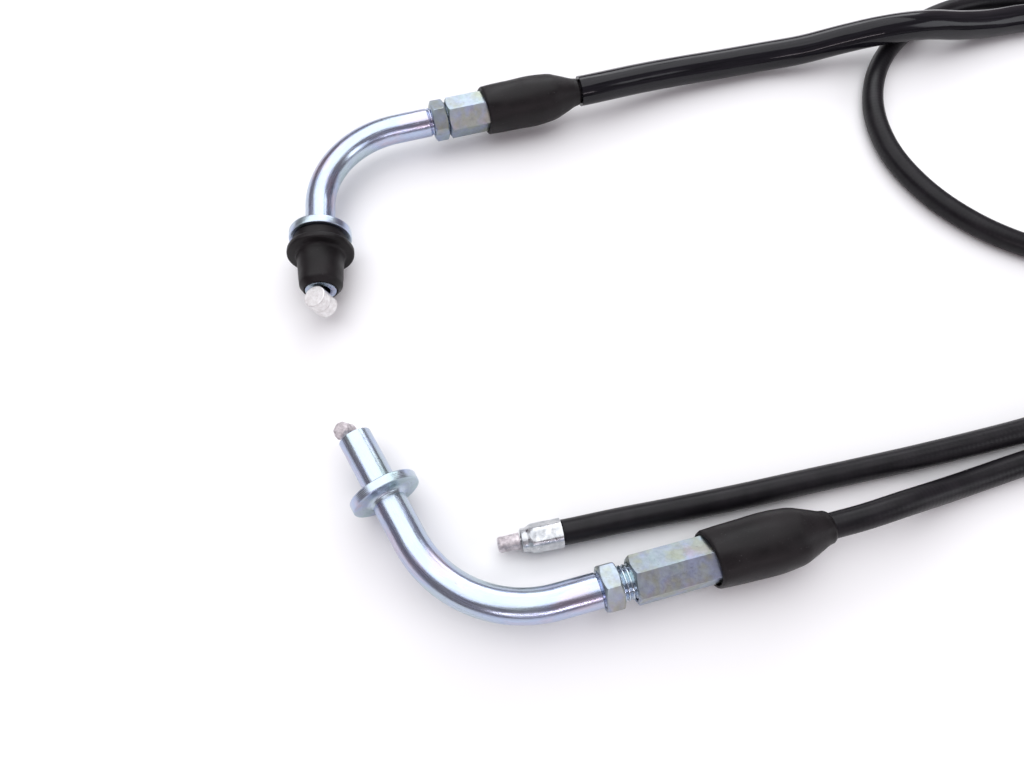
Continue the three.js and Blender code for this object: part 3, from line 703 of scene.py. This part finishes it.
def to_table(place, heading, points):
    """Points in a frame's own mm, brought to the row frame in mm."""
    matrix = frame_at(place, heading)
    return [matrix @ (Vector(p) * MM) / MM for p in points]


def on_table(route):
    rest = CONDUIT_RADIUS + 0.1
    return [Vector((x - FOOTPRINT_CENTRE[0], y - FOOTPRINT_CENTRE[1], rest + lift)) for x, y, lift in route]


def from_elbow(end, *distances):
    return to_table(end["place"], end["heading"], [(x, 0, 0) for x in distances])


def into_splitter(*points):
    return to_table(SPLITTER["place"], SPLITTER["heading"], points)


def conduit_lines():
    seat = SPLITTER["sockets"] + 2 * GAP + CAP_FLOOR
    ends = {
        name: into_splitter(
            (SPLITTER["cap_end"] + 10, across, 0), (SPLITTER["cap_end"], across, 0), (seat, across, 0)
        )
        for name, across in (("carb", SPLITTER["port"]), ("pump", -SPLITTER["port"]))
    }
    start = PUMP["length"] + GAP
    return {
        "grip": [
            *from_elbow(GRIP, conduit_start(GRIP), adjuster_end(GRIP), boot_end(GRIP), boot_end(GRIP) + 5),
            *on_table(GRIP_ROUTE),
            *into_splitter((-10, 0, 0), (0, 0, 0), (SPLITTER["socket_depth"] - 2 * GAP - CAP_FLOOR, 0, 0)),
        ],
        "carb": [
            *from_elbow(CARB, conduit_start(CARB), adjuster_end(CARB), boot_end(CARB), boot_end(CARB) + 9),
            *on_table(CARB_ROUTE), *ends["carb"],
        ],
        "pump": [
            *to_table(PUMP["mouth"], PUMP["heading"], [(start, 0, 0), (start + 2, 0, 0)]),
            *on_table(PUMP_ROUTE), *ends["pump"],
        ],
    }


def tube_piece(name, line, radius, bore, material, stands_for, sides=28, lip=0.3):
    points, faces, straight = swept(carried(line), lambda s, a: radius, sides, bore, lip)
    return new_piece(
        name, (points, faces), material, ROOT, stands_for=stands_for, sharp=50, straight=straight
    )


def make_conduits():
    lines = {name: evenly(centripetal(points), 1.6) for name, points in conduit_lines().items()}
    grip_line = lines["grip"][0]
    tail = boot_end(GRIP) + GAP - conduit_start(GRIP)
    step = 0.5
    inside = evenly(grip_line, step)[0]
    sheath = tube_piece(
        "sheath", inside[round(tail / step) : round((tail + SHEATH["length"]) / step)], SHEATH["radius"],
        SHEATH["bore"], SHEATH_PVC, ["grip_sheath"], sides=40, lip=0.25,
    )
    for name, (line, length) in lines.items():
        conduit = tube_piece(
            f"conduit_{name}", line, CONDUIT_RADIUS, CONDUIT_BORE, CONDUIT_PVC,
            [f"{name}_conduit"],
        )
        print(f"conduit {name}: {length:.1f} mm")


make_conduits()


# ---------------------------------------------------------------------------------------------------
# The elbows
# ---------------------------------------------------------------------------------------------------

THREAD_PITCH = 1.0
THREAD_DEPTH = 0.42
THREAD_START = 9.0
THREAD_STOP = 27.0


def make_elbow_tube(end):
    """The bent tube, smooth from its nose to the shank, and threaded from there."""
    mouth = -(nose_end(end) + end["nose"])
    stations = span(mouth, THREAD_START, 0.8) + span(THREAD_START, THREAD_STOP, THREAD_PITCH / 12)[1:]
    stations += span(THREAD_STOP, shank_end(end), 1.0)[1:]
    path = []
    for s in stations:
        centre, heading = elbow_at(end, s)
        path.append((centre, Vector((-math.sin(heading), math.cos(heading), 0)), Vector((0, 0, 1))))

    def radius_at(distance, angle):
        s = distance + mouth
        if s < THREAD_START or s > THREAD_STOP:
            return TUBE_RADIUS - (0.25 if s > THREAD_STOP else 0)
        grown = min(1, (s - THREAD_START) / 0.8)
        turn = (s / THREAD_PITCH - angle / (2 * math.pi)) % 1
        groove = max(0.0, 1 - abs(turn - 0.5) / 0.36)
        return TUBE_RADIUS - THREAD_DEPTH * grown * groove

    points, faces, straight = swept(path, radius_at, 64, TUBE_BORE, 0.45)
    new_piece(
        f"{end['name']}_tube", (points, faces), ZINC_TUBE, f"{end['name']}_elbow",
        frame_at(end["place"], end["heading"]), [f"{end['name']}_elbow_tube"], sharp=40, straight=straight,
    )


def make_flange(end):
    """The brazed collar: a thin disc with turned edges, and a fillet of braze on the bend's side."""
    half = FLANGE["thickness"] / 2
    radius = FLANGE["radius"]
    inner = TUBE_RADIUS + 0.02
    profile = [
        (-half - 1.2, inner), (-half - 0.45, inner + 0.25, 0.3), (-half, inner + 0.95, 0.5),
        (-half, radius, 0.28), (half, radius, 0.28), (half, inner + 0.5, 0.2), (half + 0.35, inner),
    ]
    disc = finer(rounded(profile), 0.6)

    def uneven(x, r, angle):
        wave = noise.noise(Vector((2 * math.cos(angle), 2 * math.sin(angle), x)))
        return x, r + (0.12 * wave if x < -half and r > inner + 0.1 else 0)

    new_piece(
        f"{end['name']}_flange", turned(disc, 96, uneven), ZINC_TURNED, f"{end['name']}_elbow",
        nose_matrix(end), [f"{end['name']}_elbow_flange"],
    )


def make_nut(end):
    name = f"{end['name']}_lock_nut"
    shape = hex_bar(NUT_THICKNESS, HEX_FLATS, TUBE_RADIUS + 0.05, end["nut_phase"], (True, True), 0.95)
    matrix = shifted(frame_at(end["place"], end["heading"]), end["nut_at"])
    soften(new_piece(f"{name}_hex", shape, ZINC_HEX, name, matrix, [name]), 0.2, 3, 20)


def make_adjuster(end):
    name = f"{end['name']}_adjuster"
    shape = hex_bar(
        ADJUSTER["length"], HEX_FLATS, CAP_RADIUS + 0.3, end["hex_phase"], (True, True), 0.93, bore_chamfer=0.25
    )
    matrix = shifted(frame_at(end["place"], end["heading"]), end["adjuster_at"])
    soften(new_piece(f"{name}_sleeve", shape, ZINC_HEX, name, matrix, [name]), 0.34, 3, 20)


def make_boot(end):
    """The rubber boot, stretched over the sleeve's corners, with a thin lip, a shoulder and a short tail."""
    corner = HEX_FLATS / math.sqrt(3) + GAP
    outer = corner + BOOT["wall"]
    length, tail = BOOT["length"], BOOT["tail"]
    bore = CONDUIT_RADIUS + GAP
    outline = centripetal(
        [(0.6, outer - 0.25, 0), (4, outer - 0.05, 0), (10, outer + 0.1, 0), (15.5, outer + 0.22, 0),
         (19.3, outer - 0.05, 0), (22, outer - 0.45, 0), (24.4, outer - 1.3, 0), (26.5, tail + 0.85, 0),
         (28.3, tail + 0.15, 0), (length - 0.5, tail - 0.1, 0)],
        6,
    )
    profile = [(0, corner - 0.15), (0.02, corner + 0.1), (0.2, outer - 0.45)]
    profile += [(p.x, p.y) for p in outline]
    profile += [(length, tail - 0.4), (length, bore)]
    profile += [(BOOT["mouth"], bore), (BOOT["mouth"] - 3.2, corner)]
    shape = finer(profile, 0.8)
    phase = math.radians(end["hex_phase"])
    seed = 3.1 if end is GRIP else 8.7

    def stretched(x, r, angle):
        swirl = Vector((0.8 * math.cos(angle), 0.8 * math.sin(angle), seed + 0.05 * x))
        outside = r > corner + 0.15
        near_front = max(0.0, 1 - x / 9)
        hexed = 0.16 * near_front * math.cos(6 * (angle - phase - math.pi / 2)) if outside else 0
        sag = 0.1 * noise.noise(swirl) * min(1, x / 4) if outside and x < 26 else 0
        uneven = 0.5 * noise.noise(swirl + Vector((5, 2, 0)))
        slant = -0.75 * math.cos(angle + 0.5)
        return max(0.0, x + max(0.0, 1 - x / 7) * (0.8 + uneven + slant)), r + hexed + sag

    name = f"{end['name']}_boot"
    matrix = shifted(frame_at(end["place"], end["heading"]), end["boot_at"])
    new_piece(f"{name}_rubber", turned(shape, 96, stretched), RUBBER, name, matrix, [name], sharp=60)


def make_grommet():
    """The grommet that plugs the hole in the grip's housing: a neck, a thin rim and a tapered plug."""
    neck, neck_length = GROMMET["neck"]
    rim, rim_length = GROMMET["rim"]
    root, tip, plug = GROMMET["plug"]
    x0 = FLANGE["thickness"] / 2 + 0.05
    x1 = FLANGE["thickness"] / 2 + GAP + neck_length
    x2 = x1 + rim_length
    x3 = x2 + plug
    bore = TUBE_RADIUS + 0.05
    profile = [
        (x0, bore), (x0, neck, 0.3), (x1, neck - 0.2, 0.6), (x1 + 0.1, rim, 0.5),
        (x2, rim, 0.6), (x2 + 0.3, root + 0.15, 0.7), (x3 - 1.5, tip, 0.4), (x3, tip - 1.1, 0.3),
        (x3, bore + 0.15, 0.15),
    ]

    def handmade(x, r, angle):
        wave = noise.noise(Vector((1.3 * math.cos(angle), 1.3 * math.sin(angle), 0.3 * x)))
        return x, r + (0.14 * wave - 0.07 if r > bore + 0.3 else 0)

    shape = turned(finer(rounded(profile, steps=6), 0.8), 96, handmade)
    new_piece(
        "grommet_rubber", shape, RUBBER, "grip_elbow", nose_matrix(GRIP), ["grip_grommet"], sharp=50
    )


def barrel_profile(half, radius, dome, waist):
    """A barrel nipple's outline from end to end, about its own axis, with a parting line round its middle."""
    return [
        (-half, 0.05), (-half, radius - dome, 0.1), (-half + dome, radius, 0.3), (-0.16, radius, 0.05),
        (0, radius - waist, 0.08), (0.16, radius, 0.05), (half - dome, radius, 0.3),
        (half, radius - dome, 0.1), (half, 0.05),
    ]


def make_barrel_nipple(end, material, dome, waist, rough):
    """The nipple across the mouth of an elbow's nose, as cast: uneven by rough."""
    name = f"{end['name']}_nipple"
    nipple = end["nipple"]
    radius = nipple["radius"]
    matrix = shifted(nose_matrix(end), end["nose"] + GAP + radius, nipple["across"])
    matrix = matrix @ Matrix.Rotation(math.radians(nipple["lean"]), 4, "X") @ Matrix.Rotation(math.pi / 2, 4, "Y")
    outline = barrel_profile(nipple["length"] / 2, radius, dome, waist)
    profile = finer(rounded(outline, closed=False, steps=5), 0.25)

    def cast(x, r, angle):
        bumps = noise.noise(Vector((x, r * math.cos(angle), r * math.sin(angle))) * 1.1)
        return x, max(0.02, r + rough * (bumps - 0.5) * min(1, r))

    shape = turned(profile, 64, cast)
    new_piece(f"{name}_barrel", shape, material, f"{end['name']}_pull", matrix, [name], sharp=45)


def make_wire_end(name, matrix, start, stop, body, node):
    """A straight end of wire, with six strands twisted round its core."""
    lay = 9.0
    rings = []
    for x in span(start, stop, 0.35):
        twist = 2 * math.pi * x / lay
        ring = []
        for j in range(48):
            angle = 2 * math.pi * j / 48
            lobe = abs(math.cos(3 * (angle - twist)))
            r = WIRE_RADIUS * (0.84 + 0.16 * lobe)
            ring.append((x, r * math.cos(angle), r * math.sin(angle)))
        rings.append(ring)
    new_piece(name, skin(rings, closed=False), STEEL, body, matrix, [node], sharp=50)


def make_elbow(end):
    make_elbow_tube(end)
    make_flange(end)
    make_nut(end)
    make_adjuster(end)
    make_boot(end)


for elbow in (GRIP, CARB):
    make_elbow(elbow)
make_grommet()
make_barrel_nipple(GRIP, CAST_WHITE, 0.14, 0.12, 0.012)
make_barrel_nipple(CARB, CAST_ROUGH, 0.8, 0.05, 0.16)
for elbow in (GRIP, CARB):
    make_wire_end(
        f"{elbow['name']}_strand", shifted(nose_matrix(elbow), 0, elbow["nipple"]["across"]),
        GAP - elbow["straight"], elbow["nose"] + GAP + elbow["nipple"]["radius"],
        f"{elbow['name']}_pull", f"{elbow['name']}_wire_end",
    )


# ---------------------------------------------------------------------------------------------------
# The pump's end
# ---------------------------------------------------------------------------------------------------


def make_pump_end():
    matrix = frame_at(PUMP["mouth"], PUMP["heading"])
    collar, length, radius = PUMP["collar"], PUMP["length"], PUMP["radius"]
    inner = PUMP["liner"] + GAP
    apothem = inner + PUMP["wall"]
    profile = finer(
        rounded([
            (0, CONDUIT_BORE), (0, inner, 0.3), (collar - 0.2, inner + 0.05, 0.3), (collar + 0.9, radius, 0.6),
            (length, radius - 0.02, 0.12), (length, inner, 0.05), (collar + 1, inner),
            (collar + 1, CONDUIT_BORE),
        ]),
        0.4,
    )
    phase = math.radians(PUMP["hex_phase"] + 90)

    def crimped(x, r, angle):
        if r < inner + 0.05:
            return x, r
        into = max(0.0, min(1.0, (x - collar - 0.3) / 1.4))
        offset = (angle - phase + math.pi / 6) % (math.pi / 3) - math.pi / 6
        flat = apothem / math.cos(math.pi / 6 - abs(offset))
        dent = 0.05 * noise.noise(Vector((x * 0.8, 2 * math.cos(angle), 2 * math.sin(angle))))
        return x, min(r, r * (1 - into) + min(r, flat) * into) + dent * into

    new_piece(
        "pump_ferrule_crimped", turned(profile, 96, crimped), ALLOY, ROOT, matrix,
        ["pump_ferrule"], sharp=40,
    )
    seat, stop = collar + 1.4, length + 0.5
    liner = turned(
        [(seat, CONDUIT_BORE), (seat, inner - GAP), (stop, inner - GAP), (stop, CONDUIT_BORE)], 32
    )
    new_piece("pump_liner", liner, CONDUIT_PVC, ROOT, matrix)
    pin = finer(
        rounded([
            (-GAP, 0.05), (-GAP, 2.0, 0.15), (-GAP - 1.1, 1.97, 0.3), (-GAP - 1.7, 1.9, 0.4),
            (-5.1, 1.86, 0.2),
            (-5.5, 1.5, 0.2), (-5.5, 1.1, 0.15), (-5.15, 0.9, 0.1), (-5.15, 0.05),
        ], closed=False),
        0.3,
    )

    def cast(x, r, angle):
        bumps = noise.noise(Vector((x, r * math.cos(angle), r * math.sin(angle))) * 1.2)
        return x, max(0.02, r + 0.09 * bumps * min(1, r) - 0.04)

    new_piece(
        "pump_pin", turned(pin, 56, cast), CAST_ROUGH, "pump_pull", matrix, ["pump_nipple"],
        sharp=45,
    )
    make_wire_end("pump_strand", matrix, -GAP - 3, collar + 1.3 + TRAVEL, "pump_pull", "pump_wire_end")


make_pump_end()


# ---------------------------------------------------------------------------------------------------
# The splitter
# ---------------------------------------------------------------------------------------------------


def make_splitter():
    matrix = frame_at(SPLITTER["place"], SPLITTER["heading"])
    radius, boss, depth = SPLITTER["radius"], SPLITTER["boss"], SPLITTER["boss_length"]
    end = SPLITTER["body_end"]
    seat = SPLITTER["socket_depth"]
    socket = CAP_RADIUS + GAP
    cavity = radius - SPLITTER["wall"]
    floor = depth + SPLITTER["end_wall"]
    profile = [
        (0, socket, 0.2), (0, boss, 0.5), (depth - 2.2, boss, 1.2), (depth, boss + 1.2, 0.8),
        (depth, radius - 0.9, 0.5), (depth + 1.5, radius, 1.2), (end - 6.6, radius, 0.3),
        (end - 6.2, radius - 0.5, 0.2), (end - 5.2, radius - 0.5, 0.2), (end - 4.8, radius, 0.3),
        (end, radius, 0.3), (end, cavity, 0.1), (floor, cavity, 0.3), (floor, CONDUIT_BORE),
        (seat, CONDUIT_BORE), (seat, socket, 0.1),
    ]

    def ribbed(x, r, angle):
        """Grip ribs round the middle of the barrel, sunk into it."""
        if r < radius - 0.05 or not depth + 8 < x < end - 12:
            return x, r
        edge = min(1, (x - depth - 8) / 1.5, (end - 12 - x) / 1.5)
        return x, r - 0.45 * edge * max(0.0, math.cos(16 * angle)) ** 2

    body = turned(finer(rounded(profile, steps=5), 0.9), 192, ribbed)
    new_piece("splitter_barrel", body, NYLON, ROOT, matrix, ["splitter_body"], sharp=40)


def make_splitter_cap():
    """The splitter's end cap: a ribbed rim, a plug in the body, and a stepped bore for each of two cables."""
    radius, start, stop = SPLITTER["radius"], SPLITTER["cap_face"], SPLITTER["cap_end"]
    plug = radius - SPLITTER["wall"] - GAP
    outline = rounded(
        [
            (SPLITTER["cavity_end"], plug), (start, plug, 0.1), (start, radius, 0.3),
            (stop - 2.6, radius, 0.3), (stop - 2.3, radius - 0.4, 0.2), (stop - 1.5, radius - 0.4, 0.2),
            (stop, radius - 1.7, 0.7), (stop, radius - 2.6),
        ],
        closed=False,
    )
    profile = [
        tuple(Vector(a).lerp(Vector(b), k / 3)) for a, b in zip(outline, outline[1:]) for k in range(3)
    ]

    def ribbed(x, r, angle):
        edge = min(1.0, (x - start - 0.8) / 0.9, (stop - 3.4 - x) / 0.9)
        if r < radius - 0.05 or edge <= 0:
            return x, r
        return x, r - 0.4 * edge * max(0.0, math.cos(20 * angle)) ** 2

    tools = []
    socket = CAP_RADIUS + GAP
    for across in (SPLITTER["port"], -SPLITTER["port"]):
        points, faces = turned(
            [
                (SPLITTER["cavity_end"] - 1, CONDUIT_BORE), (SPLITTER["sockets"], CONDUIT_BORE),
                (SPLITTER["sockets"], socket), (stop - 0.25, socket), (stop + 0.1, socket + 0.25),
                (stop + 1, socket + 0.25),
            ],
            48, closed=False,
        )
        tools.append(([(x, y + across, z) for x, y, z in points], faces))
    matrix = frame_at(SPLITTER["place"], SPLITTER["heading"])
    shape = cut(turned([*profile, outline[-1]], 180, ribbed, closed=False), tools)
    new_piece("splitter_end_cap", shape, NYLON, ROOT, matrix, ["splitter_cap"], sharp=35)


make_splitter()
make_splitter_cap()


# ---------------------------------------------------------------------------------------------------
# The CAD pieces that stay
# ---------------------------------------------------------------------------------------------------

KEPT = {
    "grip_conduit_cap": ZINC_TURNED, "carb_conduit_cap": ZINC_TURNED,
    "splitter_grip_ferrule": ZINC_TURNED, "splitter_carb_ferrule": ZINC_TURNED,
    "splitter_pump_ferrule": ZINC_TURNED,
    "splitter_grip_nipple": CAST_WHITE, "splitter_carb_nipple": CAST_WHITE, "splitter_pump_nipple": CAST_WHITE,
    "splitter_slider": ACETAL,
    "grip_wire_in_elbow": STEEL, "carb_wire_in_elbow": STEEL,
    "grip_wire_in_conduit": STEEL, "carb_wire_in_conduit": STEEL, "pump_wire_in_conduit": STEEL,
    "splitter_grip_wire": STEEL, "splitter_carb_wire": STEEL, "splitter_pump_wire": STEEL,
}
for node, material in KEPT.items():
    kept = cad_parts[node]
    for index in range(len(kept.material_slots)):
        kept.material_slots[index].material = material
    if "wire" not in node:
        soften(kept, 0.15, 2, 40)
